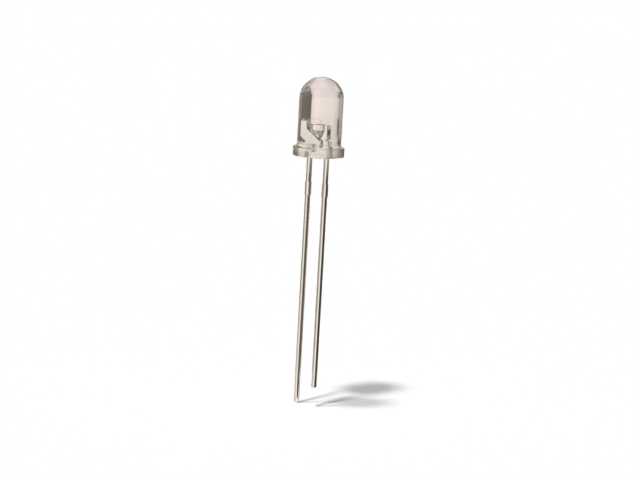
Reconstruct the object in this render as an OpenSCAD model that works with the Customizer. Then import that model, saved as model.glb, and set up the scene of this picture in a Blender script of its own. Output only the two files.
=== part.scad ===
// Round through hole LED with a clear cast body and two unequal leads.
// The origin is the centre of the flange's underside. +Z is the optical axis.
// The leads lie along X, with the cathode and the flange's flat on the +X side.

/* [Clear body] */
// Diameter of the barrel and of the dome on it
barrel_d = 5; // [4.5:0.1:6.5]
// Height of the body from its underside to the top of the dome
body_h = 8.9; // [7.4:0.1:12]
// How far the flange stands out from the barrel, all round
flange_rim = 0.4; // [0.3:0.05:0.8]
// Thickness of the flange
flange_h = 1.05; // [0.7:0.05:1.5]
// How far the flat on the cathode side stands out from the barrel
flat_stand = 0.05; // [0.03:0.01:0.2]
// Radius of the flange's edges
edge_r = 0.08; // [0.02:0.01:0.15]
// Radius of the fillet where the barrel meets the flange
root_r = 0.1; // [0.03:0.01:0.15]

/* [Leads] */
// Distance between the centres of the two leads
lead_pitch = 2.54; // [2.1:0.01:3.1]
// Width of a lead, along the row
lead_w = 0.5; // [0.4:0.01:0.6]
// Thickness of the sheet that the leads are stamped from
sheet_t = 0.4; // [0.3:0.01:0.5]
// Length of the cathode's lead below the body
cathode_len = 26.3; // [10:0.1:32]
// How much longer the anode's lead is
anode_extra = 2.2; // [0:0.1:3]
// Slant cut off each corner of a lead's tip
tip_cut = 0.12; // [0.02:0.01:0.2]

/* [Dam bar stubs] */
// Distance from the body to the top of the stubs left by the dam bar
stub_drop = 3.05; // [1:0.05:5]
// Height of a stub
stub_h = 1.5; // [0.5:0.1:2]
// How far a stub stands out from the lead on each side
stub_out = 0.08; // [0.03:0.01:0.15]

/* [Anvil and cup] */
// Height of the cup's rim above the underside
rim_z = 3.6; // [3:0.05:4.3]
// Diameter of the round head that holds the cup
head_d = 1.46; // [1.2:0.02:1.5]
// Height of the straight band below the rim
head_band = 0.6; // [0.1:0.05:0.8]
// Diameter of the head's lower end, just above the toe
waist_d = 0.9; // [0.6:0.02:1.1]
// Diameter of the cup's mouth
cup_d = 1.12; // [0.85:0.01:1.12]
// Diameter of the cup's floor
floor_d = 0.62; // [0.56:0.01:0.75]
// Depth of the cup
cup_depth = 0.36; // [0.28:0.01:0.4]
// Distance from the axis to the anvil's outer edge
anvil_out = 1.05; // [0.8:0.01:1.2]
// Lowest point of the anvil's toe
toe_z = 1.95; // [1.7:0.05:2.1]
// Depth of the notch in the outer edge, between the anvil and its stem
anvil_notch_d = 0.2; // [0.1:0.01:0.25]

/* [Post] */
// How far the post's top stands above the cup's rim
post_rise = 0.45; // [0.2:0.05:0.8]
// How far the post's outer edge lies inside the lead's outer edge
post_step = 0.12; // [0.05:0.01:0.15]
// Height of the two slants pressed on the front and back of the post's top
slant_h = 0.2; // [0.1:0.01:0.25]
// Depth of each slant
slant_d = 0.13; // [0.05:0.01:0.13]
// Width of the slot between the post and the anvil, along X
slot_w = 0.28; // [0.2:0.01:0.35]
// Height of the flag's free end, from its lower edge to the toe
flag_h = 1; // [0.8:0.05:1.1]
// Distance from the axis to the flag's free end
flag_end = 0.2; // [0:0.01:0.3]
// Height of the notch in the outer edge, between the lead and the post
notch_h = 0.75; // [0.5:0.05:0.9]
// Depth of that notch, from the post's outer edge
notch_d = 0.4; // [0.2:0.01:0.45]
// Height of the small gap in the flag's lower edge
gap_h = 0.45; // [0.2:0.05:0.55]
// Width of that gap
gap_w = 0.25; // [0.15:0.01:0.3]
// Width of the flag's lower end, right of that gap
prong_w = 0.37; // [0.25:0.01:0.45]
// Height of the flag's root above the underside
root_h = 0.45; // [0.3:0.05:0.6]

/* [Chip and wire] */
// Side of the square chip
chip_w = 0.3; // [0.2:0.01:0.34]
// Height of the chip
chip_h = 0.18; // [0.1:0.01:0.2]
// Thickness of the bond under the chip
attach_t = 0.03; // [0.01:0.005:0.05]
// How far the bond spreads past the chip's corners
attach_spread = 0.03; // [0.01:0.005:0.03]
// Diameter of the bond wire
wire_d = 0.03; // [0.02:0.001:0.04]
// Diameter of the ball on the chip
ball_d = 0.09; // [0.07:0.005:0.12]
// Height of the ball
ball_h = 0.03; // [0.02:0.005:0.04]
// Radius of the wire's bend above the chip
bend_r = 0.15; // [0.08:0.01:0.25]
// Slope at which the wire runs down to the post, in degrees
wire_slope = 10; // [5:1:20]
// Length of the stitch on the post
stitch_l = 0.12; // [0.08:0.01:0.2]

/* [Hidden] */
$fn = 64;

barrel_r = barrel_d / 2;
flange_r = barrel_r + flange_rim;
dome_z = body_h - barrel_r;
flat_x = barrel_r + flat_stand;

// Edges of the two leads, from the axis
lead_in = lead_pitch / 2 - lead_w / 2;
lead_out = lead_pitch / 2 + lead_w / 2;
anode_len = cathode_len + anode_extra;

// Small breaks in the outlines: a clipped corner, a short step and a longer slope
corner = 0.07;
step = 0.1;
slope = 0.2;

// How far a cutting shape runs past what it cuts
past = 1;

// The slot drops beside the cup to its knee, then runs on slanting to the toe
slot_z = rim_z - corner;
knee_in = 0.07;
knee_drop = 0.62;
knee = [knee_in - lead_in, rim_z - knee_drop];
anvil_in = slot_w - lead_in;
toe_x = flag_end + slot_w;

// The cathode's stem leans in from the lead to the toe, below the notch and the shoulder
stem_drop = 0.95;
stem_z = toe_z - stem_drop;
stem_top_z = toe_z - step;
shoulder_z = toe_z + 2 * slope;

// The anode's post stands over a notch, and its flag runs from there to the slot
post_z = rim_z + post_rise;
post_out = lead_out - post_step;
flag_z = toe_z - flag_h;
notch_top_z = toe_z + slope;
notch_z = notch_top_z - notch_h;
notch_x = notch_d - post_out;
gap_x = flag_end - prong_w;

floor_z = rim_z - cup_depth;
chip_z = floor_z + attach_t;
chip_top = chip_z + chip_h;
attach_d = chip_w * sqrt(2) + 2 * attach_spread;

// The wire rises from the ball, bends over and slopes down to the post's middle
bond_x = -(lead_in + post_out) / 2;
bend_turn = 90 + wire_slope;
bend_end_x = -bend_r + bend_r * cos(bend_turn);
bend_end_z = post_z + (bend_end_x - bond_x) * tan(wire_slope);
riser_z = bend_end_z - bend_r * sin(bend_turn);
span_l = (bend_end_x - bond_x) / cos(wire_slope);

// A flat outline drawn in X and Z, given the thickness of the sheet
module stamped(thickness = sheet_t) {
    rotate([90, 0, 0])
        linear_extrude(thickness, center = true)
            children();
}

// Outline of one lead below z = top, with its stub and its slanted tip
module lead_outline(x, length, top) {
    translate([x, 0]) {
        polygon([
            [-lead_w / 2 + tip_cut, -length],
            [lead_w / 2 - tip_cut, -length],
            [lead_w / 2, -length + tip_cut],
            [lead_w / 2, top],
            [-lead_w / 2, top],
            [-lead_w / 2, -length + tip_cut]
        ]);
        translate([-lead_w / 2 - stub_out, -stub_drop - stub_h])
            square([lead_w + 2 * stub_out, stub_h]);
    }
}

// Everything the cathode's stamping may fill, right of the slot
module anvil_outline() {
    polygon([
        [anvil_in, rim_z],
        [anvil_in, slot_z],
        [knee[0] + slot_w, knee[1]],
        [toe_x, toe_z],
        [toe_x + slope, stem_top_z],
        [lead_in, stem_z],
        [lead_out, stem_z],
        [lead_out - step, stem_z + slope],
        [anvil_out + slope, stem_top_z],
        [anvil_out - anvil_notch_d, toe_z - step / 2],
        [anvil_out - anvil_notch_d, toe_z + step],
        [anvil_out + step, toe_z + step],
        [anvil_out, shoulder_z],
        [anvil_out, rim_z - corner],
        [anvil_out - corner, rim_z]
    ]);
}

// The post with its flag, left of the slot
module post_outline() {
    polygon([
        [-lead_out, root_h],
        [-lead_out, notch_z],
        [notch_x - step, notch_z],
        [notch_x, notch_z + slope],
        [-post_out, notch_top_z],
        [-post_out, post_z - corner],
        [-post_out + corner, post_z],
        [-lead_in - corner, post_z],
        [-lead_in, post_z - corner],
        [-lead_in, slot_z],
        knee,
        [flag_end - step, toe_z - corner],
        [flag_end, toe_z - corner - step],
        [flag_end, flag_z],
        [gap_x, flag_z],
        [gap_x, flag_z + gap_h],
        [gap_x - gap_w, flag_z + gap_h],
        [gap_x - gap_w, root_h + step],
        [gap_x - gap_w - step, root_h]
    ]);
}

// What the two slants take off the front and back of the post's top
module post_slants() {
    for (side = [0, 1])
        mirror([0, side, 0])
            translate([-lead_out, 0, post_z])
                rotate([90, 0, 90])
                    linear_extrude(lead_w)
                        polygon([
                            [-sheet_t, -slant_h],
                            [-sheet_t / 2, -slant_h],
                            [-sheet_t / 2 + slant_d, 0],
                            [-sheet_t / 2 + slant_d, step],
                            [-sheet_t, step]
                        ]);
}

// The round head that the cup is pressed into, tapering to its waist and into the toe
module head() {
    intersection() {
        rotate_extrude()
            polygon([
                [0, toe_z - slope],
                [sheet_t / 2, toe_z - slope],
                [waist_d / 2, toe_z + slope],
                [head_d / 2, rim_z - head_band],
                [head_d / 2, rim_z],
                [0, rim_z]
            ]);
        stamped(head_d + past) anvil_outline();
    }
}

// The cup's hollow: a cone with a flat floor
module cup_hollow() {
    rotate_extrude()
        polygon([
            [0, floor_z],
            [floor_d / 2, floor_z],
            [cup_d / 2, rim_z],
            [cup_d / 2, rim_z + past],
            [0, rim_z + past]
        ]);
}

module cathode_lead() {
    color("silver")
        difference() {
            union() {
                stamped() lead_outline(lead_pitch / 2, cathode_len, stem_z + step);
                stamped() anvil_outline();
                head();
            }
            cup_hollow();
        }
}

module anode_lead() {
    color("silver")
        difference() {
            union() {
                stamped() lead_outline(-lead_pitch / 2, anode_len, flag_z);
                stamped() post_outline();
            }
            post_slants();
        }
}

module die_attach() {
    color("gainsboro")
        translate([0, 0, floor_z])
            cylinder(d1 = attach_d, d2 = attach_d - attach_t, h = attach_t);
}

module led_chip() {
    color("dimgray")
        translate([-chip_w / 2, -chip_w / 2, chip_z])
            cube([chip_w, chip_w, chip_h]);
}

// The wire's riser above the ball, and its bend
module wire_riser() {
    translate([0, 0, chip_top])
        cylinder(d = wire_d, h = riser_z - chip_top);
    translate([-bend_r, 0, riser_z])
        rotate([90, 0, 0])
            rotate_extrude(angle = bend_turn)
                translate([bend_r, 0])
                    circle(d = wire_d);
}

// The straight span that slopes down from the bend to the post
module wire_span() {
    translate([bend_end_x, 0, bend_end_z])
        rotate([0, -90 - wire_slope, 0])
            cylinder(d = wire_d, h = span_l);
}

module bond_wire() {
    color("gold") {
        translate([0, 0, chip_top])
            cylinder(d = ball_d, h = ball_h);
        union() {
            wire_riser();
            difference() {
                union() {
                    wire_span();
                    translate([bond_x - stitch_l / 2, -wire_d, post_z])
                        cube([stitch_l, 2 * wire_d, wire_d / 2]);
                }
                translate([bond_x - past, -past, post_z - past])
                    cube([2 * past, 2 * past, past]);
            }
        }
    }
}

// Half of the body's section, turned round the axis
module body_section() {
    square([barrel_r, dome_z]);
    intersection() {
        translate([0, dome_z]) circle(barrel_r);
        square([barrel_r, body_h]);
    }
    square([flange_r - edge_r, flange_h]);
    translate([0, edge_r])
        square([flange_r, flange_h - 2 * edge_r]);
    for (z = [edge_r, flange_h - edge_r])
        translate([flange_r - edge_r, z]) circle(edge_r);
    difference() {
        translate([0, flange_h]) square([barrel_r + root_r, root_r]);
        translate([barrel_r + root_r, flange_h + root_r]) circle(root_r);
    }
}

module lens() {
    color([0.95, 0.9, 0.88, 0.35])
        difference() {
            rotate_extrude() body_section();
            translate([flat_x, -flange_r, -past])
                cube([flange_rim, 2 * flange_r, flange_h + root_r + past]);
            cathode_lead();
            anode_lead();
            die_attach();
            led_chip();
            bond_wire();
        }
}

lens();
cathode_lead();
anode_lead();
led_chip();
die_attach();
bond_wire();
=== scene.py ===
import math

import bmesh
import bpy
from mathutils import Matrix, Vector, noise


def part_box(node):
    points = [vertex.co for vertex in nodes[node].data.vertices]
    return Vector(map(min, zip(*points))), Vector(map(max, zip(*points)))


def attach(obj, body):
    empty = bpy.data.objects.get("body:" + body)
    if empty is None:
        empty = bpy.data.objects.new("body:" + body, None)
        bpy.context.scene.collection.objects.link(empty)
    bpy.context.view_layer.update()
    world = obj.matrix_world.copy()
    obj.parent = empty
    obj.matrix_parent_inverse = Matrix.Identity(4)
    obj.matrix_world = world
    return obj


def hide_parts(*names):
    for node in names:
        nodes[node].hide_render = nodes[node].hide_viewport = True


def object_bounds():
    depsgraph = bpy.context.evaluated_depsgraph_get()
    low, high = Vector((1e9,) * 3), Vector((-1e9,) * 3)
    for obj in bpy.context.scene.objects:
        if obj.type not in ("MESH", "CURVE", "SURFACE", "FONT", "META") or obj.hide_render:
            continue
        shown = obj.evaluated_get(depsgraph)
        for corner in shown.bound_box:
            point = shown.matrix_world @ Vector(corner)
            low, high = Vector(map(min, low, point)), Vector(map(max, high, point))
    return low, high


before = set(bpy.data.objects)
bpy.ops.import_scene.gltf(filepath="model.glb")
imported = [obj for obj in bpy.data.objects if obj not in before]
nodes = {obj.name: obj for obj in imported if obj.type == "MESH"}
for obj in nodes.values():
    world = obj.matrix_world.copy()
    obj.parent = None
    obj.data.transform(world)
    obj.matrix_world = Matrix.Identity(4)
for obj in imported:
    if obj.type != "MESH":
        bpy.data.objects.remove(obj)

# A clear round LED on two stamped leads, seen in a small light tent.
# The dictionaries hold millimetres and degrees, and mm turns millimetres into metres.
mm = 0.001
weld = 0.0005 * mm  # points closer than this are one point
cadLow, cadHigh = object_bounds()
lensLow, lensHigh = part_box("lens")
wireLow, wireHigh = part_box("bond_wire")
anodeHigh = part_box("anode_lead")[1]
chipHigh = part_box("led_chip")[1]


def smoothStep(low, high, value):
    t = min(max((value - low) / (high - low), 0), 1)
    return t * t * (3 - 2 * t)


def addObject(name, mesh, material=None):
    piece = bpy.data.objects.new(name, mesh)
    bpy.context.scene.collection.objects.link(piece)
    if material:
        mesh.materials.clear()
        mesh.materials.append(material)
    return piece


def meshFrom(name, bm):
    mesh = bpy.data.meshes.new(name)
    bm.to_mesh(mesh)
    bm.free()
    return mesh


def threadMesh(name, points):
    # Points joined one after another, for a node tree to make a curve of
    bm = bmesh.new()
    dots = [bm.verts.new(p) for p in points]
    for a, b in zip(dots, dots[1:]):
        bm.edges.new((a, b))
    return meshFrom(name, bm)


def meshOf(worker):
    # The worker's mesh with its modifiers applied, as a plain mesh
    graph = bpy.context.evaluated_depsgraph_get()
    mesh = bpy.data.meshes.new_from_object(worker.evaluated_get(graph))
    worker.modifiers.clear()
    return mesh


def smoothFaces(mesh, sharpAngle):
    mesh.shade_smooth()
    mesh.set_sharp_from_angle(angle=math.radians(sharpAngle))


def addNode(tree, kind, inputs=None, **settings):
    node = tree.nodes.new(kind)
    for key, value in settings.items():
        setattr(node, key, value)
    for key, value in (inputs or {}).items():
        node.inputs[key].default_value = value
    return node


def newMaterial(name):
    material = bpy.data.materials.new(name)
    material.use_nodes = True
    tree = material.node_tree
    return material, tree, tree.nodes["Principled BSDF"]


def bareMaterial(name):
    # A material with nothing but its output
    material, tree = newMaterial(name)[:2]
    tree.nodes.clear()
    return material, tree, addNode(tree, "ShaderNodeOutputMaterial")


def addNoise(tree, scale, stretch=(1, 1, 1), detail=3):
    # Noise on Object coordinates, scaled in waves per millimetre
    place = addNode(tree, "ShaderNodeTexCoord")
    turn = addNode(tree, "ShaderNodeMapping")
    turn.inputs["Scale"].default_value = [scale * s / mm for s in stretch]
    cloud = addNode(tree, "ShaderNodeTexNoise", {"Scale": 1, "Detail": detail})
    tree.links.new(place.outputs["Object"], turn.inputs["Vector"])
    tree.links.new(turn.outputs[0], cloud.inputs["Vector"])
    return cloud.outputs["Fac"]


def addMath(tree, operation, *values):
    # Each value is a number or another node's socket
    node = addNode(tree, "ShaderNodeMath", operation=operation)
    for value, socket in zip(values, node.inputs):
        if isinstance(value, (int, float)):
            socket.default_value = value
        else:
            tree.links.new(value, socket)
    return node.outputs[0]


def addRange(tree, source, low, high):
    spread = addNode(tree, "ShaderNodeMapRange", {"To Min": low, "To Max": high})
    tree.links.new(source, spread.inputs["Value"])
    return spread.outputs["Result"]


def addRamp(tree, source, stops):
    ramp = addNode(tree, "ShaderNodeValToRGB")
    while len(ramp.color_ramp.elements) < len(stops):
        ramp.color_ramp.elements.new(0.5)
    for element, (place, colour) in zip(ramp.color_ramp.elements, stops):
        element.position = place
        element.color = (*colour, 1)
    tree.links.new(source, ramp.inputs["Fac"])
    return ramp.outputs["Color"]


def addBump(tree, source, height, target):
    bump = addNode(tree, "ShaderNodeBump", {"Strength": 1, "Distance": height * mm})
    tree.links.new(source, bump.inputs["Height"])
    tree.links.new(bump.outputs[0], target.inputs["Normal"])


# Camera

cameraSettings = {
    "azimuth": 41.5,
    "elevation": 8.5,
    "roll": 3.2,
    "lens": 150,
    "sensor": 36,
    "clip": (10, 10000),  # nearest and farthest distance that it sees
    "distance": 299,
    "aimRight": 0.19,  # from the flange's centre to the middle of the view
    "aimDown": 9.44,
}


def cameraFrame():
    azimuth = math.radians(cameraSettings["azimuth"])
    elevation = math.radians(cameraSettings["elevation"])
    roll = math.radians(cameraSettings["roll"])
    back = Vector((
        math.sin(azimuth) * math.cos(elevation),
        -math.cos(azimuth) * math.cos(elevation),
        math.sin(elevation),
    ))
    level = Vector((math.cos(azimuth), math.sin(azimuth), 0))
    upright = back.cross(level)
    right = level * math.cos(roll) + upright * math.sin(roll)
    up = upright * math.cos(roll) - level * math.sin(roll)
    return right, up, back


def floorDirections():
    # Level directions on the floor: to the camera's right, and away from it
    azimuth = math.radians(cameraSettings["azimuth"])
    right = Vector((math.cos(azimuth), math.sin(azimuth), 0))
    away = Vector((-math.sin(azimuth), math.cos(azimuth), 0))
    return right, away


def placeCamera():
    s = cameraSettings
    right, up, back = cameraFrame()
    target = right * s["aimRight"] * mm - up * s["aimDown"] * mm
    data = bpy.data.cameras.new("camera")
    data.lens = s["lens"]
    data.sensor_width = s["sensor"]
    data.clip_start = s["clip"][0] * mm
    data.clip_end = s["clip"][1] * mm
    camera = bpy.data.objects.new("camera", data)
    bpy.context.scene.collection.objects.link(camera)
    turn = Matrix((right, up, back)).transposed().to_4x4()
    camera.matrix_world = Matrix.Translation(target + back * s["distance"] * mm) @ turn
    bpy.context.scene.camera = camera
    print("camera placed")


# Clear body: half of its section, turned round the axis by a node tree

bodySettings = {
    "barrelRadius": 2.5,
    "flangeRadius": 2.9,
    "flangeHeight": 1.05,
    "edgeRadius": 0.08,
    "rootRadius": 0.1,
    "steps": 256,  # round the axis
    "baseRings": 44,  # across the underside
    "sideRings": 16,  # up the barrel
    "edgeSteps": 6,
    "domeSteps": 48,
    "pathRadius": 1.0,  # of the circle that the section follows
    "cutSize": (1.0, 3.4, 1.6),  # of the block that takes the flat off the flange
    "cutRise": 0.4,  # height of the block's middle, as a share of the block's own
    "cutGrid": (61, 25),
    "flatRipple": 0.03,  # unevenness of the flat, where the mould marked it
    "baseRipple": 0.03,  # and of the underside, where the epoxy set in the open
    "rippleSize": 0.5,
    "rippleFade": 0.24,  # both level out over this distance from their edges
    "baseSeed": 3.7,
    "flatSeed": 8.1,
    "meniscus": 0.1,  # how far the epoxy creeps down each lead
    "meniscusReach": 0.12,
    "leadPitch": 2.54,
    "leadWidth": 0.5,
    "creaseFrom": 35,
}


def arcPoints(centre, radius, fromAngle, toAngle, count):
    points = []
    for i in range(count + 1):
        a = math.radians(fromAngle + (toAngle - fromAngle) * i / count)
        points.append((centre[0] + radius * math.cos(a), centre[1] + radius * math.sin(a)))
    return points


def bodySection():
    # Radius and height in millimetres, from the middle of the underside to the top of the dome
    s = bodySettings
    barrel, rim, edge, root = s["barrelRadius"], s["flangeRadius"], s["edgeRadius"], s["rootRadius"]
    step = s["flangeHeight"]
    shoulder = lensHigh.z / mm - barrel
    foot = step + root
    points = [((rim - edge) * i / s["baseRings"], 0) for i in range(s["baseRings"])]
    points += arcPoints((rim - edge, edge), edge, -90, 0, s["edgeSteps"])
    points += arcPoints((rim - edge, step - edge), edge, 0, 90, s["edgeSteps"])
    points += arcPoints((barrel + root, foot), root, -90, -180, s["edgeSteps"])
    points += [(barrel, foot + (shoulder - foot) * i / s["sideRings"]) for i in range(1, s["sideRings"])]
    points += arcPoints((0, shoulder), barrel, 0, 90, s["domeSteps"])
    return points


def addSockets(tree, kinds):
    tree.interface.new_socket("Geometry", in_out="INPUT", socket_type="NodeSocketGeometry")
    for name, kind in kinds.items():
        tree.interface.new_socket(name, in_out="INPUT", socket_type="NodeSocket" + kind)
    tree.interface.new_socket("Geometry", in_out="OUTPUT", socket_type="NodeSocketGeometry")
    return addNode(tree, "NodeGroupInput"), addNode(tree, "NodeGroupOutput")


def finishTree(tree, geometry, material, end):
    # Every tree ends in real geometry with its material on
    real = addNode(tree, "GeometryNodeRealizeInstances")
    painted = addNode(tree, "GeometryNodeSetMaterial", {"Material": material})
    tree.links.new(geometry, real.inputs["Geometry"])
    tree.links.new(real.outputs["Geometry"], painted.inputs["Geometry"])
    tree.links.new(painted.outputs["Geometry"], end.inputs["Geometry"])


def runTree(name, mesh, tree, values):
    # Runs a node tree on a mesh and keeps the result as a plain mesh
    worker = addObject(name + "Work", mesh)
    modifier = worker.modifiers.new("shape", "NODES")
    modifier.node_group = tree
    for item in tree.interface.items_tree:
        if item.in_out == "INPUT" and item.name in values:
            modifier[item.identifier] = values[item.name]
    result = meshOf(worker)
    result.name = name
    bpy.data.objects.remove(worker)
    return result


def turnedBodyTree(material):
    s = bodySettings
    tree = bpy.data.node_groups.new("turnedBody", "GeometryNodeTree")
    start, end = addSockets(tree, {
        "Steps": "Int", "Path Radius": "Float", "Flat At": "Float",
        "Flat Depth": "Float", "Flat Width": "Float", "Flat Height": "Float",
    })
    link = tree.links.new
    section = addNode(tree, "GeometryNodeMeshToCurve")
    path = addNode(tree, "GeometryNodeCurvePrimitiveCircle")
    turned = addNode(tree, "GeometryNodeCurveToMesh")
    closed = addNode(tree, "GeometryNodeMergeByDistance", {"Distance": weld})
    link(start.outputs["Geometry"], section.inputs["Mesh"])
    link(start.outputs["Steps"], path.inputs["Resolution"])
    link(start.outputs["Path Radius"], path.inputs["Radius"])
    link(path.outputs["Curve"], turned.inputs["Curve"])
    link(section.outputs["Curve"], turned.inputs["Profile Curve"])
    link(turned.outputs["Mesh"], closed.inputs["Geometry"])

    # The block that takes the flat off the flange, gridded so that the flat can be uneven
    size = addNode(tree, "ShaderNodeCombineXYZ")
    link(start.outputs["Flat Depth"], size.inputs["X"])
    link(start.outputs["Flat Width"], size.inputs["Y"])
    link(start.outputs["Flat Height"], size.inputs["Z"])
    columns, rows = s["cutGrid"]
    block = addNode(tree, "GeometryNodeMeshCube", {"Vertices Y": columns, "Vertices Z": rows})
    link(size.outputs[0], block.inputs["Size"])
    half = addMath(tree, "MULTIPLY", start.outputs["Flat Depth"], 0.5)
    place = addNode(tree, "ShaderNodeCombineXYZ")
    link(addMath(tree, "ADD", start.outputs["Flat At"], half), place.inputs["X"])
    link(addMath(tree, "MULTIPLY", start.outputs["Flat Height"], s["cutRise"]), place.inputs["Z"])
    moved = addNode(tree, "GeometryNodeTransform")
    link(block.outputs["Mesh"], moved.inputs["Geometry"])
    link(place.outputs[0], moved.inputs["Translation"])
    cut = addNode(tree, "GeometryNodeMeshBoolean", operation="DIFFERENCE", solver="EXACT")
    link(closed.outputs["Geometry"], cut.inputs["Mesh 1"])
    link(moved.outputs["Geometry"], cut.inputs["Mesh 2"])
    welded = addNode(tree, "GeometryNodeMergeByDistance", {"Distance": weld})
    link(cut.outputs["Mesh"], welded.inputs["Geometry"])
    finishTree(tree, welded.outputs["Geometry"], material, end)
    return tree


def ripple(a, b, seed):
    # A slow uneven height between -1 and 1, the same on every run
    return noise.noise(Vector((a, b, seed)))


def makeBody(material):
    s = bodySettings
    # The section lies in its own plane, measured from the circle that it follows
    section = [((r - s["pathRadius"]) * mm, -z * mm, 0) for r, z in bodySection()]
    mesh = runTree("clear_body", threadMesh("section", section), turnedBodyTree(material), {
        "Steps": s["steps"],
        "Path Radius": s["pathRadius"] * mm,
        "Flat At": lensHigh.x,
        "Flat Depth": s["cutSize"][0] * mm,
        "Flat Width": s["cutSize"][1] * mm,
        "Flat Height": s["cutSize"][2] * mm,
    })
    # The underside and the flat are a little uneven, and the epoxy creeps down the leads
    grain = 1 / (s["rippleSize"] * mm)
    fade = s["rippleFade"] * mm
    edge = s["edgeRadius"] * mm
    rim = s["flangeRadius"] * mm
    top = s["flangeHeight"] * mm
    for vert in mesh.vertices:
        p = vert.co
        if p.z < weld:
            inside = smoothStep(rim - edge, rim - edge - fade, math.hypot(p.x, p.y))
            inside *= smoothStep(lensHigh.x, lensHigh.x - fade, p.x)
            swell = (1 + ripple(p.x * grain, p.y * grain, s["baseSeed"])) / 2
            p.z += s["baseRipple"] * mm * swell * inside
            for middle in (-s["leadPitch"] / 2, s["leadPitch"] / 2):
                across = max(abs(p.x - middle * mm) - s["leadWidth"] * mm / 2, 0)
                gap = math.hypot(across, max(abs(p.y) - anodeHigh.y, 0))
                p.z -= s["meniscus"] * mm * math.exp(-gap / (s["meniscusReach"] * mm))
        elif abs(p.x - lensHigh.x) < weld:
            inside = smoothStep(0, edge, p.z) * smoothStep(top, top - edge, p.z)
            reach = math.sqrt(max(rim ** 2 - p.x ** 2, 0))
            inside *= smoothStep(reach, reach - fade, abs(p.y))
            swell = (1 + ripple(p.y * grain, p.z * grain, s["flatSeed"])) / 2
            p.x -= s["flatRipple"] * mm * swell * inside
    body = addObject("clear_body", mesh, material)
    smoothFaces(mesh, s["creaseFrom"])
    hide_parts("lens")
    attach(body, "root")
    print("clear body turned:", len(mesh.vertices), "points")


epoxySettings = {
    "index": 1.53,
    "tint": (0.983, 0.978, 0.963),
    "paleTint": (0.992, 0.988, 0.977),
    "flangeTint": (0.972, 0.982, 0.965),
    "cloudSize": 0.25,  # waves per millimetre
    "dull": 0.6,  # roughness of the flat, and of the underside beside it
    "dullFrom": 0.9,  # the underside is dull beyond this x, and smooth where the epoxy was poured
    "flangeDull": 0.22,  # roughness of the flange's round side, less polished than the barrel
    "flatDepth": 0.05,  # how deep the flat's finish goes, and the underside's
    "baseDepth": 0.06,
    "flowSize": 0.35,
    "flowStretch": (1, 1, 0.3),
    "flowHeight": 0.004,
}


def epoxyMaterial():
    # Clear cast epoxy: polished where the mould was polished, dull on the flange
    s = epoxySettings
    material, tree, shader = newMaterial("castEpoxy")
    shader.inputs["Transmission Weight"].default_value = 1
    shader.inputs["IOR"].default_value = s["index"]
    tint = addRamp(tree, addNoise(tree, s["cloudSize"]), [(0.3, s["tint"]), (0.7, s["paleTint"])])
    place = addNode(tree, "ShaderNodeTexCoord")
    split = addNode(tree, "ShaderNodeSeparateXYZ")
    tree.links.new(place.outputs["Object"], split.inputs[0])
    x, z = split.outputs["X"], split.outputs["Z"]
    aboveFlange = addMath(tree, "GREATER_THAN", z, bodySettings["flangeHeight"] * mm)
    shade = addNode(tree, "ShaderNodeMix", data_type="RGBA")
    shade.inputs["A"].default_value = (*s["flangeTint"], 1)
    tree.links.new(aboveFlange, shade.inputs["Factor"])
    tree.links.new(tint, shade.inputs["B"])
    tree.links.new(shade.outputs["Result"], shader.inputs["Base Color"])
    onFlat = addMath(tree, "GREATER_THAN", x, lensHigh.x - s["flatDepth"] * mm)
    onBase = addMath(tree, "LESS_THAN", z, s["baseDepth"] * mm)
    dullBase = addMath(tree, "MULTIPLY", onBase, addMath(tree, "GREATER_THAN", x, s["dullFrom"] * mm))
    dull = addRange(tree, addMath(tree, "MAXIMUM", onFlat, dullBase), 0, s["dull"])
    onSide = addMath(tree, "SUBTRACT", addMath(tree, "SUBTRACT", 1, onBase), aboveFlange)
    sideDull = addRange(tree, onSide, 0, s["flangeDull"])
    tree.links.new(addMath(tree, "MAXIMUM", dull, sideDull), shader.inputs["Roughness"])
    addBump(tree, addNoise(tree, s["flowSize"], s["flowStretch"], 1), s["flowHeight"], shader)
    return material


# Leads: softened copies of the stampings, with the solder's slight waves

leadSettings = {
    "edgeRound": 0.09,  # die roll on the sheet's corners
    "castShare": 0.17,  # share of it that shows inside the epoxy
    "edgeSegments": 3,
    "sharpFrom": 50,  # only corners that turn more than this are rounded
    "shortest": 0.06,  # edges shorter than this are left as they are
    "coined": 0.05,  # a face that leans this far out of the sheet's directions is coined, not cut
    "creaseFrom": 40,
    "flatWeight": 60,  # how much the broad faces rule the shading beside the rounded corners
    "flatWithin": 0.5,  # faces that meet at less than this are one face
    "thickness": 0.4,
    "crownPower": (3, 6),  # how late the shading turns towards the corners, across the front and the side
    "crownFrom": -0.02,  # the rolled look starts at this height
    "stubEnds": (-3.03, -4.57),  # cuts just outside the wider stub, so that it shades by itself
    "anodeTwist": 6,
    "cathodeTwist": -8,
    "headReach": 0.74,  # the head's turned faces lie within this of the optical axis
    "turnedFacing": 0.99,  # how squarely a turned face looks to or from the optical axis
}


def isSheetFace(face):
    # True for the sheet's own broad faces and for the edges cut square to them
    lean = abs(face.normal.y)
    return lean > 1 - leadSettings["coined"] or lean < leadSettings["coined"]


def turnedFacing(normal, middle):
    # 1 for a turned face that looks away from the optical axis, -1 towards it, 0 for any other face
    s = leadSettings
    level = Vector((normal.x, normal.y))
    reach = Vector((middle.x, middle.y))
    onSheet = abs(normal.y) > 1 - s["coined"] and abs(middle.y) < anodeHigh.y + s["edgeRound"] * mm / 2
    if onSheet or middle.z < lensLow.z:
        return 0
    if level.length < s["coined"] or reach.length > s["headReach"] * mm:
        return 0
    facing = level.normalized().dot(reach.normalized())
    return math.copysign(1, facing) if abs(facing) > s["turnedFacing"] else 0


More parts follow.
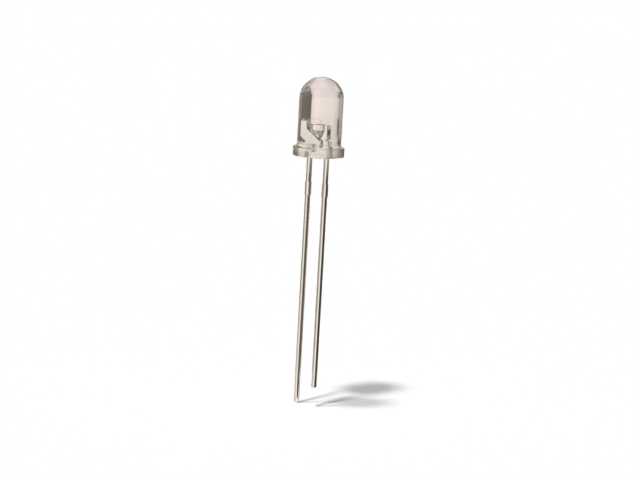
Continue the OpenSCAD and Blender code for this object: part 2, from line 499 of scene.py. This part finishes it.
def trueTurnedNormals(mesh):
    # The turned faces of the head and the cup shade as true cylinders and cones
    normals = [Vector(corner.vector) for corner in mesh.corner_normals]
    for face in mesh.polygons:
        facing = turnedFacing(face.normal, face.center)
        if not facing:
            continue
        for corner in face.loop_indices:
            place = mesh.vertices[mesh.loops[corner].vertex_index].co
            out = Vector((place.x, place.y, 0)).normalized() * facing
            tall = face.normal.z
            normals[corner] = out * math.sqrt(1 - tall * tall) + Vector((0, 0, tall))
    mesh.normals_split_custom_set(normals)


def crownLead(mesh, twist):
    # Outside the body the lead shades as if it was rolled a little round, and twisted by a few degrees
    s = leadSettings
    body = bodySettings
    normals = [Vector(corner.vector) for corner in mesh.corner_normals]
    turn = Matrix.Rotation(math.radians(twist), 3, "Z")
    halves = (body["leadWidth"] * mm / 2, s["thickness"] * mm / 2)
    for face in mesh.polygons:
        if face.center.z > s["crownFrom"] * mm or abs(face.normal.z) > s["coined"]:
            continue
        middle = math.copysign(body["leadPitch"] * mm / 2, face.center.x)
        reach = max(abs(mesh.vertices[v].co.x - middle) for v in face.vertices)
        for corner in face.loop_indices:
            place = mesh.vertices[mesh.loops[corner].vertex_index].co
            shares = ((place.x - middle) / max(halves[0], reach), place.y / halves[1])
            lean = [math.copysign(abs(v) ** power, v) for v, power in zip(shares, s["crownPower"])]
            normals[corner] = turn @ Vector((*lean, 0)).normalized()
    mesh.normals_split_custom_set(normals)


def softenLead(node, name, material, twist):
    s = leadSettings
    bm = bmesh.new()
    bm.from_mesh(nodes[node].data)
    bmesh.ops.remove_doubles(bm, verts=bm.verts, dist=weld)
    flatWithin = math.radians(s["flatWithin"])
    bmesh.ops.dissolve_limit(bm, angle_limit=flatWithin, verts=bm.verts, edges=bm.edges)
    # Cuts across the lead, between the parts that shade in their own ways
    for height in (s["crownFrom"], *s["stubEnds"]):
        everything = [*bm.verts, *bm.edges, *bm.faces]
        bmesh.ops.bisect_plane(bm, geom=everything, plane_co=(0, 0, height * mm), plane_no=(0, 0, 1))
    bmesh.ops.recalc_face_normals(bm, faces=bm.faces)
    share = bm.edges.layers.float.new("bevel_weight_edge")
    for e in bm.edges:
        if not e.is_manifold or e.calc_length() < s["shortest"] * mm:
            continue
        if any(turnedFacing(f.normal, f.calc_center_median()) for f in e.link_faces):
            continue
        sharp = e.calc_face_angle(0) > math.radians(s["sharpFrom"])
        if sharp and all(isSheetFace(f) for f in e.link_faces):
            e[share] = 1 if min(vert.co.z for vert in e.verts) < lensLow.z else s["castShare"]
    worker = addObject(name + "Work", meshFrom(name + "Cut", bm))
    worker.data.shade_smooth()
    rounding = worker.modifiers.new("rounding", "BEVEL")
    rounding.limit_method = "WEIGHT"
    rounding.width = s["edgeRound"] * mm
    rounding.segments = s["edgeSegments"]
    rounded = meshOf(worker)
    bpy.data.objects.remove(worker)
    smoothFaces(rounded, s["creaseFrom"])
    worker = addObject(name + "Work", rounded)
    shading = worker.modifiers.new("flats", "WEIGHTED_NORMAL")
    shading.keep_sharp = True
    shading.weight = s["flatWeight"]
    shaded = meshOf(worker)
    bpy.data.objects.remove(worker)
    shaded.name = name
    trueTurnedNormals(shaded)
    crownLead(shaded, twist)
    piece = addObject(name, shaded, material)
    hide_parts(node)
    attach(piece, "root")
    print(name, "softened:", len(shaded.polygons), "faces")


platingSettings = {
    "tin": (0.87, 0.85, 0.81),
    "tinRoughness": (0.1, 0.2),
    "silver": (0.89, 0.87, 0.83),
    "silverRoughness": (0.08, 0.18),
    "streakShade": 0.93,
    "streakSize": 2.2,  # waves per millimetre
    "streakStretch": (1, 1, 0.12),
    "waveSize": 1.6,
    "waveStretch": (1, 1, 0.25),
    "waveHeight": 0.012,
}


def platingMaterial(name, colour, roughness):
    # Drawn out streaks of colour and roughness, over the slight waves of the solder
    s = platingSettings
    material, tree, shader = newMaterial(name)
    shader.inputs["Metallic"].default_value = 1
    streaks = addNoise(tree, s["streakSize"], s["streakStretch"], 4)
    darker = [c * s["streakShade"] for c in colour]
    tree.links.new(addRamp(tree, streaks, [(0.35, darker), (0.65, colour)]), shader.inputs["Base Color"])
    tree.links.new(addRange(tree, streaks, *roughness), shader.inputs["Roughness"])
    addBump(tree, addNoise(tree, s["waveSize"], s["waveStretch"], 2), s["waveHeight"], shader)
    return material


# Chip, bond and wire

wireSettings = {
    "diameter": 0.03,
    "bend": 0.15,
    "bendSteps": 8,
    "ball": 0.09,
    "ballHeight": 0.03,
    "stitch": 0.12,
    "stitchWidth": 0.5,  # share of its length
    "sides": 12,
    "blobSides": 20,  # of the ball and the stitch
    "blobRings": 12,
}


def wirePath():
    # Up from the ball, round the bend and down the slope to the middle of the post's top
    s = wireSettings
    bend = s["bend"] * mm
    top = wireHigh.z - s["diameter"] * mm / 2
    stitchX = wireLow.x + s["stitch"] * mm / 2
    stitchZ = anodeHigh.z + s["diameter"] * mm / 2
    points = [Vector((0, 0, chipHigh.z)), Vector((0, 0, top - bend))]
    for i in range(1, s["bendSteps"] + 1):
        a = math.radians(90 * i / s["bendSteps"])
        points.append(Vector((-bend + bend * math.cos(a), 0, top - bend + bend * math.sin(a))))
    points.append(Vector((stitchX, 0, stitchZ)))
    return points


def wireTree(material):
    s = wireSettings
    tree = bpy.data.node_groups.new("bondWire", "GeometryNodeTree")
    start, end = addSockets(tree, {
        "Diameter": "Float", "Sides": "Int", "Ball": "Float", "Ball Height": "Float",
        "Ball Place": "Vector", "Stitch": "Float", "Stitch Place": "Vector",
    })
    link = tree.links.new
    path = addNode(tree, "GeometryNodeMeshToCurve")
    ring = addNode(tree, "GeometryNodeCurvePrimitiveCircle")
    tube = addNode(tree, "GeometryNodeCurveToMesh", {"Fill Caps": True})
    link(start.outputs["Geometry"], path.inputs["Mesh"])
    link(addMath(tree, "MULTIPLY", start.outputs["Diameter"], 0.5), ring.inputs["Radius"])
    link(start.outputs["Sides"], ring.inputs["Resolution"])
    link(path.outputs["Curve"], tube.inputs["Curve"])
    link(ring.outputs["Curve"], tube.inputs["Profile Curve"])
    joined = addNode(tree, "GeometryNodeJoinGeometry")
    link(tube.outputs["Mesh"], joined.inputs["Geometry"])
    # The ball and the stitch are both squashed spheres
    blobShape = {"Segments": s["blobSides"], "Rings": s["blobRings"], "Radius": 0.5}
    for size, height, place, width in (
            ("Ball", "Ball Height", "Ball Place", 1.0),
            ("Stitch", "Diameter", "Stitch Place", s["stitchWidth"])):
        blob = addNode(tree, "GeometryNodeMeshUVSphere", blobShape)
        scale = addNode(tree, "ShaderNodeCombineXYZ")
        put = addNode(tree, "GeometryNodeTransform")
        link(start.outputs[size], scale.inputs["X"])
        link(addMath(tree, "MULTIPLY", start.outputs[size], width), scale.inputs["Y"])
        link(start.outputs[height], scale.inputs["Z"])
        link(blob.outputs["Mesh"], put.inputs["Geometry"])
        link(scale.outputs[0], put.inputs["Scale"])
        link(start.outputs[place], put.inputs["Translation"])
        link(put.outputs["Geometry"], joined.inputs["Geometry"])
    smooth = addNode(tree, "GeometryNodeSetShadeSmooth")
    link(joined.outputs["Geometry"], smooth.inputs["Geometry"])
    finishTree(tree, smooth.outputs["Geometry"], material, end)
    return tree


def makeWire(material):
    s = wireSettings
    path = wirePath()
    mesh = runTree("gold_wire", threadMesh("wirePath", path), wireTree(material), {
        "Diameter": s["diameter"] * mm,
        "Sides": s["sides"],
        "Ball": s["ball"] * mm,
        "Ball Height": s["ballHeight"] * mm,
        "Ball Place": Vector((0, 0, chipHigh.z + s["ballHeight"] * mm / 2)),
        "Stitch": s["stitch"] * mm,
        "Stitch Place": path[-1],
    })
    wire = addObject("gold_wire", mesh, material)
    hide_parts("bond_wire")
    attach(wire, "root")
    print("bond wire swept:", len(mesh.vertices), "points")


goldSettings = {
    "colour": (0.93, 0.76, 0.48),
    "darkColour": (0.86, 0.66, 0.36),
    "roughness": (0.18, 0.3),
    "markSize": 12,  # waves per millimetre
}


def goldMaterial():
    s = goldSettings
    material, tree, shader = newMaterial("drawnGold")
    shader.inputs["Metallic"].default_value = 1
    marks = addNoise(tree, s["markSize"], detail=2)
    colour = addRamp(tree, marks, [(0.3, s["darkColour"]), (0.7, s["colour"])])
    tree.links.new(colour, shader.inputs["Base Color"])
    tree.links.new(addRange(tree, marks, *s["roughness"]), shader.inputs["Roughness"])
    return material


chipSettings = {
    "pad": 0.06,  # radius of the metal pad in the middle of the top
    "padColour": (0.85, 0.68, 0.4),
    "colour": (0.17, 0.16, 0.15),
    "darkColour": (0.09, 0.085, 0.08),
    "roughness": (0.2, 0.4),
    "grainSize": 9,  # waves per millimetre
}


def chipMaterial():
    # Dark sides with a metal pad in the middle of the top
    s = chipSettings
    material, tree, shader = newMaterial("dicedChip")
    place = addNode(tree, "ShaderNodeTexCoord")
    level = addNode(tree, "ShaderNodeVectorMath", {1: (1, 1, 0)}, operation="MULTIPLY")
    tree.links.new(place.outputs["Object"], level.inputs[0])
    reach = addNode(tree, "ShaderNodeVectorMath", operation="LENGTH")
    tree.links.new(level.outputs[0], reach.inputs[0])
    onPad = addMath(tree, "LESS_THAN", reach.outputs["Value"], s["pad"] * mm)
    grain = addNoise(tree, s["grainSize"])
    mix = addNode(tree, "ShaderNodeMix", data_type="RGBA")
    mix.inputs["B"].default_value = (*s["padColour"], 1)
    tree.links.new(onPad, mix.inputs["Factor"])
    tree.links.new(addRamp(tree, grain, [(0.3, s["darkColour"]), (0.7, s["colour"])]), mix.inputs["A"])
    tree.links.new(mix.outputs["Result"], shader.inputs["Base Color"])
    tree.links.new(onPad, shader.inputs["Metallic"])
    tree.links.new(addRange(tree, grain, *s["roughness"]), shader.inputs["Roughness"])
    return material


bondSettings = {
    "colour": (0.72, 0.71, 0.68),
    "darkColour": (0.42, 0.41, 0.39),
    "roughness": (0.35, 0.6),
    "flakeSize": 22,  # waves per millimetre
    "flakeHeight": 0.004,
}


def silverBondMaterial():
    s = bondSettings
    material, tree, shader = newMaterial("silverBond")
    flakes = addNoise(tree, s["flakeSize"], detail=4)
    colour = addRamp(tree, flakes, [(0.35, s["darkColour"]), (0.65, s["colour"])])
    tree.links.new(colour, shader.inputs["Base Color"])
    tree.links.new(flakes, shader.inputs["Metallic"])
    tree.links.new(addRange(tree, flakes, *s["roughness"]), shader.inputs["Roughness"])
    addBump(tree, flakes, s["flakeHeight"], shader)
    return material


def paintNode(node, material):
    nodes[node].data.materials.clear()
    nodes[node].data.materials.append(material)


# Stage: a pale floor, and a light tent of toned cloth that only metal and glass see

floorSettings = {
    "half": 2000,  # half the length of its side
    "colour": (1, 0.99, 0.97),  # of its glow
    "glow": 0.03,
    "paint": 0.95,
}


def addSeen(tree):
    # 1 for what the camera, metal and glass see, 0 for the light that falls on the object
    path = addNode(tree, "ShaderNodeLightPath")
    seen = path.outputs["Is Camera Ray"]
    for kind in ("Is Glossy Ray", "Is Transmission Ray"):
        seen = addMath(tree, "MAXIMUM", seen, path.outputs[kind])
    return seen


def floorPaint():
    # Plain paint that takes the shadow, with a glow for the camera, metal and glass
    s = floorSettings
    material, tree, end = bareMaterial("floorPaint")
    link = tree.links.new
    light = addNode(tree, "ShaderNodeEmission", {"Color": (*s["colour"], 1)})
    base = addNode(tree, "ShaderNodeBsdfDiffuse", {"Color": (s["paint"], s["paint"], s["paint"], 1)})
    both = addNode(tree, "ShaderNodeAddShader")
    link(addRange(tree, addSeen(tree), 0, s["glow"]), light.inputs["Strength"])
    link(light.outputs[0], both.inputs[0])
    link(base.outputs[0], both.inputs[1])
    link(both.outputs[0], end.inputs["Surface"])
    return material


def makeFloor():
    half = floorSettings["half"] * mm
    mesh = bpy.data.meshes.new("floor")
    corners = [(x * half, y * half, cadLow.z) for x, y in ((-1, -1), (1, -1), (1, 1), (-1, 1))]
    mesh.from_pydata(corners, [], [(0, 1, 2, 3)])
    floor = addObject("floor", mesh, floorPaint())
    print("floor laid")


tentSettings = {
    "radius": 22,
    "top": 45,
    "clear": 0.02,  # the tent's floor lies this far above the real one
    "hole": 1.9,  # radius of the opening in the tent's own floor, round the leads' tips
    "columns": 480,
    "rows": 146,
    "backPale": (1.0, 0.865, 0.825),  # the cloth is pink behind the LED and cream at its sides
    "backDark": (1.0, 0.83, 0.68),
    "sidePale": (1.0, 0.945, 0.875),
    "sideDark": (1.0, 0.89, 0.7),
    "creamLeft": (-5, -60),  # angles over which it turns from pink to cream
    "creamRight": (40, 75),
    "paleFrom": 0.8,  # cloth of this tone or more is pale, and darker cloth is warmer
    "roof": 0.02,
    "floorTone": 0.95,  # the tent's floor behind the LED; elsewhere it takes the foot's tone
    "floorTo": (60, 75),  # angles over which it turns into the foot's
    "floorEdge": 0.8,  # share of the radius at which the floor's own tone starts
    # Angle from straight behind the LED, plus to the right, and the cloth's tone there
    "wallTones": [
        (-180, 0.85), (-122, 0.84), (-100, 0.95), (-84, 0.95), (-72, 0.3), (-62, 0.25), (-57, 0.35),
        (-50, 0.41), (-44, 0.36), (-39, 0.43), (-35, 0.58), (-31, 0.67), (-26, 0.76), (-21, 0.82),
        (-14, 0.83), (-8, 0.85), (0, 0.86), (7, 0.92), (11, 0.87), (13.5, 0.79), (20, 0.79),
        (72, 0.3), (78, 0.1), (100, 0.1), (120, 0.34), (170, 0.45), (180, 0.85),
    ],
    "footTones": [
        (-180, 0.85), (-150, 1.0), (-135, 1.15), (-122, 1.15), (-116, 0.95), (-110, 0.6), (-104, 0.55),
        (-98, 0.68), (-92, 0.8), (-82, 0.75), (-78, 0.65), (-73, 0.25), (-60, 0.12), (-55, 0.4),
        (-50, 0.66), (-42, 0.74), (-28, 0.73), (-21, 0.72), (-17, 0.76), (-8, 0.84), (0, 0.9),
        (12, 0.88), (17, 0.83), (21, 0.79), (25, 0.73), (30, 0.6), (40, 0.48), (50, 0.54), (59, 0.5),
        (62, 0.3), (66, 0.05), (100, 0.05), (120, 0.34), (170, 0.45), (180, 0.85),
    ],
    "footFrom": -1.0,  # the wall's tones turn into the foot's between these heights
    "footTo": -3.5,
    # Cards on the cloth: from and to angle, from and to height, tone, soft side and soft end
    "cards": [
        (15.2, 74, 0.8, 5.0, 0.095, 2.5, 1.2),
        (18.3, 74, -1.2, 1.2, 0.11, 3, 0.6),
        (43, 64, 1.8, 4.8, 0.22, 5, 0.8),
        (44, 74, -1.2, 1.7, 0.07, 4, 0.4),
        (21, 56, -3.4, -1.2, 0.31, 2, 0.5),
        (27, 46, -5.8, -3.4, 0.23, 7, 0.7),
        (10, 76, 5.4, 46, 0.01, 3, 1.0),
        (-44, -35, 0.0, 2.0, 0.17, 1.5, 0.4),
        (-62, -42, -2.6, -0.3, 0.1, 3, 0.6),
        (-14, 11, 5.2, 12, 0.98, 4, 2.0),
        (-172, -84, 1.35, 2.2, 1.22, 8, 0.5),
        (-176, -80, 2.2, 7.0, 0.95, 8, 0.6),
        (142, 190, -2.5, 1.8, 0.95, 10, 1.0),
        (74, 102, -4.2, -2.6, 0.3, 4, 0.6),
        (58, 112, -2.6, -1.6, 0.8, 6, 0.5),
        (74, 102, -1.6, 2.2, 0.7, 4, 0.6),
        (74, 102, 2.2, 5.0, 0.3, 4, 0.6),
        (74, 108, 5.0, 9.3, 0.42, 4, 0.8),
        (60, 80, 18.5, 30.0, 0.75, 4, 1.0),
        (118, 190, 12.0, 24.0, 0.1, 6, 2.0),
        (-190, -155, 12.0, 24.0, 0.1, 6, 2.0),
        (96, 190, -29.0, -4.4, 0.06, 6, 0.8),
        (-190, -160, -29.0, -4.4, 0.06, 8, 0.8),
    ],
    # Bands across the cloth behind the LED: from and to height, and how much they dim or lift it
    "bands": [(-3.2, 2.6, 0.93), (-60, -3.2, 1.02)],
    "bandEnd": 1.2,
    "bandFrom": -60,
    "bandTo": 30,
}


def readTones(tones, angle):
    for (a, low), (b, high) in zip(tones, tones[1:]):
        if a <= angle <= b:
            return low + (high - low) * (angle - a) / (b - a)
    return tones[0][1]


def clothTone(angle, height):
    s = tentSettings
    onFoot = smoothStep(s["footFrom"], s["footTo"], height)
    tone = readTones(s["wallTones"], angle) * (1 - onFoot) + readTones(s["footTones"], angle) * onFoot
    if s["bandFrom"] < angle < s["bandTo"]:
        for bottom, top, factor in s["bands"]:
            cover = smoothStep(bottom - s["bandEnd"] / 2, bottom + s["bandEnd"] / 2, height)
            cover *= smoothStep(top + s["bandEnd"] / 2, top - s["bandEnd"] / 2, height)
            tone *= 1 + (factor - 1) * cover
    for left, right, bottom, top, shade, side, end in s["cards"]:
        cover = smoothStep(left - side / 2, left + side / 2, angle)
        cover *= smoothStep(right + side / 2, right - side / 2, angle)
        cover *= smoothStep(bottom - end / 2, bottom + end / 2, height)
        cover *= smoothStep(top + end / 2, top - end / 2, height)
        tone += (shade - tone) * cover
    return tone


def blend(first, second, share):
    return [a + (b - a) * share for a, b in zip(first, second)]


def clothColour(angle, tone):
    s = tentSettings
    cream = smoothStep(*s["creamLeft"], angle) + smoothStep(*s["creamRight"], angle)
    pale = smoothStep(0, s["paleFrom"], tone)
    back = blend(s["backDark"], s["backPale"], pale)
    side = blend(s["sideDark"], s["sidePale"], pale)
    return [tone * c for c in blend(back, side, cream)]


def makeTent():
    # A round wall of cloth, with the same tones carried in across the tent's floor
    s = tentSettings
    right, away = floorDirections()
    bm = bmesh.new()
    layer = bm.verts.layers.float_color.new("tone")
    foot = cadLow.z / mm + s["clear"]
    floorRings = [(s["hole"], foot), (s["radius"] * s["floorEdge"], foot)]
    rise = (s["top"] - foot) / s["rows"]
    wallRings = [(s["radius"], foot + rise * row) for row in range(s["rows"] + 1)]
    roofRings = [(s["radius"], s["top"]), (s["clear"], s["top"])]
    profile = floorRings + wallRings + roofRings
    rings = []
    for i, (radius, z) in enumerate(profile):
        ring = []
        for k in range(s["columns"]):
            angle = -180 + 360 * k / s["columns"]
            a = math.radians(angle)
            out = away * math.cos(a) + right * math.sin(a)
            vert = bm.verts.new(out * radius * mm + Vector((0, 0, z * mm)))
            tone = clothTone(angle, z)
            if i < len(floorRings):
                tone += (s["floorTone"] - tone) * smoothStep(*reversed(s["floorTo"]), abs(angle))
            elif i >= len(profile) - len(roofRings):
                tone = s["roof"]
            vert[layer] = (*clothColour(angle, tone), 1)
            ring.append(vert)
        rings.append(ring)
    for low, high in zip(rings, rings[1:]):
        for k in range(s["columns"]):
            after = (k + 1) % s["columns"]
            bm.faces.new((low[k], low[after], high[after], high[k]))
    material, tree, end = bareMaterial("tentCloth")
    glow = addNode(tree, "ShaderNodeEmission")
    tones = addNode(tree, "ShaderNodeAttribute", attribute_name="tone")
    tree.links.new(tones.outputs["Color"], glow.inputs["Color"])
    tree.links.new(glow.outputs[0], end.inputs["Surface"])
    tent = addObject("tent", meshFrom("tent", bm), material)
    tent.visible_camera = False
    tent.visible_shadow = False
    tent.visible_diffuse = False
    print("tent hung")


lampSettings = {
    "spread": 5.5,  # width of each lamp as the object sees it
    # Two soft lamps, each leaving a shadow of its own: how far to the left, to the front, and strength
    "lamps": [(8.2, 11.8, 1.95), (6.8, 3.2, 1.3)],
    "rise": 33,  # height for those distances, which set only the slant
    "fill": 0.05,  # strength of the light from all round
}


def hangLamps():
    s = lampSettings
    right, away = floorDirections()
    for k, (leftward, nearward, strength) in enumerate(s["lamps"]):
        name = "softLamp" + str(k)
        lamp = bpy.data.lights.new(name, "SUN")
        lamp.angle = math.radians(s["spread"])
        lamp.energy = strength
        holder = bpy.data.objects.new(name, lamp)
        bpy.context.scene.collection.objects.link(holder)
        towards = Vector((0, 0, s["rise"])) - right * leftward - away * nearward
        holder.matrix_world = towards.to_track_quat("Z", "Y").to_matrix().to_4x4()
        holder.visible_glossy = False
        holder.visible_transmission = False


def fillWorld():
    world = bpy.data.worlds.new("studio")
    bpy.context.scene.world = world
    world.use_nodes = True
    light = world.node_tree.nodes["Background"]
    light.inputs["Color"].default_value = (1, 1, 1, 1)
    tree = world.node_tree
    tree.links.new(addRange(tree, addSeen(tree), lampSettings["fill"], 1), light.inputs["Strength"])
    print("lamps and world set")


bpy.context.scene.view_settings.view_transform = "Standard"
placeCamera()
makeFloor()
makeTent()
hangLamps()
fillWorld()
makeBody(epoxyMaterial())
tinPlate = platingMaterial("tinPlate", platingSettings["tin"], platingSettings["tinRoughness"])
silverPlate = platingMaterial("silverPlate", platingSettings["silver"], platingSettings["silverRoughness"])
softenLead("anode_lead", "anode_stamping", tinPlate, leadSettings["anodeTwist"])
softenLead("cathode_lead", "cathode_stamping", silverPlate, leadSettings["cathodeTwist"])
makeWire(goldMaterial())
paintNode("led_chip", chipMaterial())
paintNode("die_attach", silverBondMaterial())
print("chip and bond painted")
